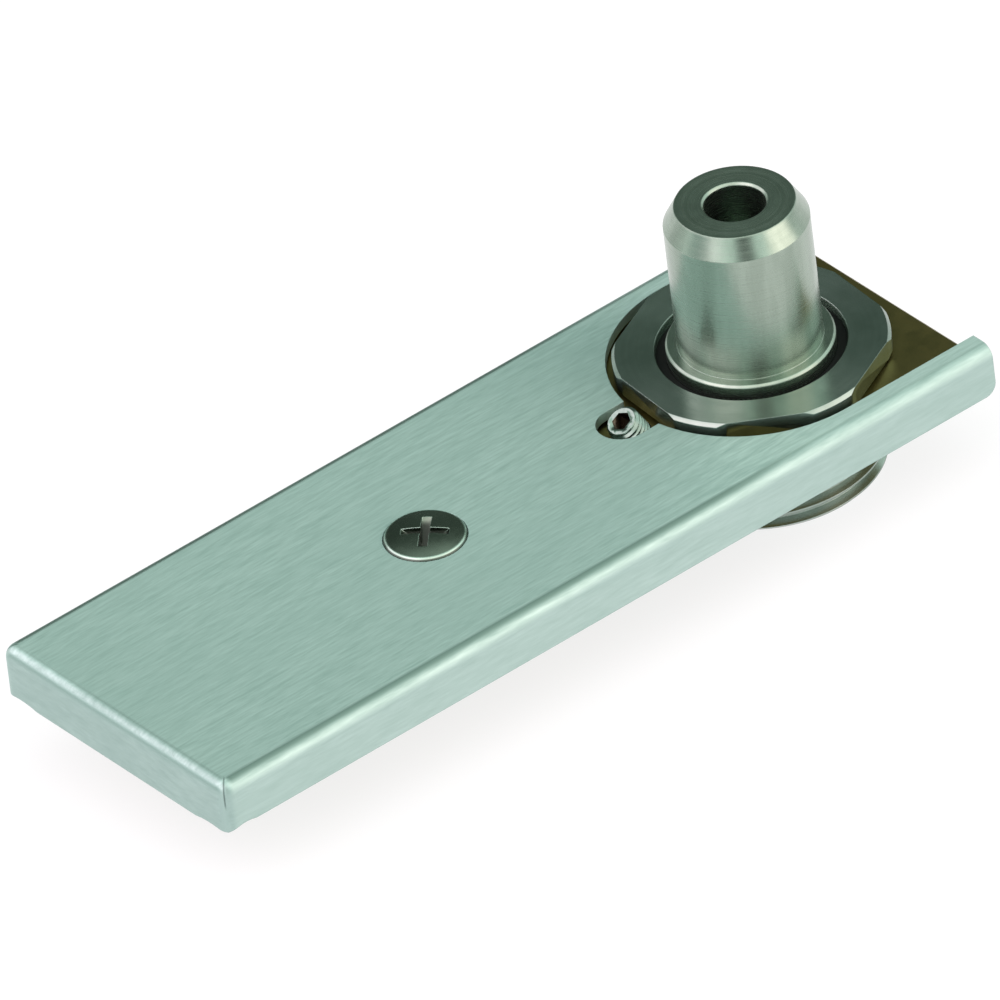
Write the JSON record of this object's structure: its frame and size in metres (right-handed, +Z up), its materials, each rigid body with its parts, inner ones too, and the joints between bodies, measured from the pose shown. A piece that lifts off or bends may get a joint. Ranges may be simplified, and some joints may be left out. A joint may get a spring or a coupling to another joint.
{
  "type": "bottom door pivot",
  "caption": "Floor pivot for a heavy door: a spindle turning in a height-adjustable threaded bearing housing on a floor plate with a brushed cover.",
  "frame": {"origin": "on the pivot axis, in the plane of the floor plate's underside", "axes": "+Z up along the pivot axis, +X towards the open end of the cover, +Y across the plate"},
  "size_m": [0.135, 0.0474, 0.043],
  "materials": {
    "cover_steel": "brushed along its length",
    "plated_steel": "yellow passivated",
    "housing_steel": "polished",
    "spindle_steel": "fine turned",
    "screw_steel": "polished",
    "grub_steel": "bright",
    "bearing_steel": "ground",
    "bronze": "sintered",
    "cage_brass": "stamped",
    "black_rubber": "moulded",
    "clip_steel": "oiled spring steel",
    "cap_steel": "pressed"
  },
  "bodies": {
    "plate": {"base_plate": "plated_steel", "cover_plate": "cover_steel", "cover_screw": "screw_steel", "grub_screw": "grub_steel"},
    "bearing_seat": {"housing_washer": "bearing_steel"},
    "housing": {"bearing_housing": "housing_steel", "upper_bush": "bronze", "lower_bush": "bronze", "seal_ring": "black_rubber", "bottom_cap": "cap_steel"},
    "spindle": {"spindle": "spindle_steel", "shaft_washer": "bearing_steel", "circlip": "clip_steel"},
    "ball_set": {"ball_cage": "cage_brass", "bearing_balls": "bearing_steel"}
  },
  "joints": [
    {"name": "height_slide", "type": "slide", "parent": "plate", "child": "bearing_seat", "axis": [0, 0, 1], "range_m": [0, 0.004]},
    {"name": "housing_turn", "type": "hinge", "parent": "bearing_seat", "child": "housing", "pos_m": [0, 0, 0], "axis": [0, 0, 1], "range_deg": [0, 720]},
    {"name": "spindle_spin", "type": "hinge", "parent": "bearing_seat", "child": "spindle", "pos_m": [0, 0, 0], "axis": [0, 0, 1], "continuous": true},
    {"name": "ball_set_spin", "type": "hinge", "parent": "bearing_seat", "child": "ball_set", "pos_m": [0, 0, 0], "axis": [0, 0, 1], "continuous": true}
  ],
  "couplings": [
    {"joint": "housing_turn", "follows": "height_slide", "rad_per_m": 3141.6},
    {"joint": "ball_set_spin", "follows": "spindle_spin", "ratio": 0.5}
  ]
}
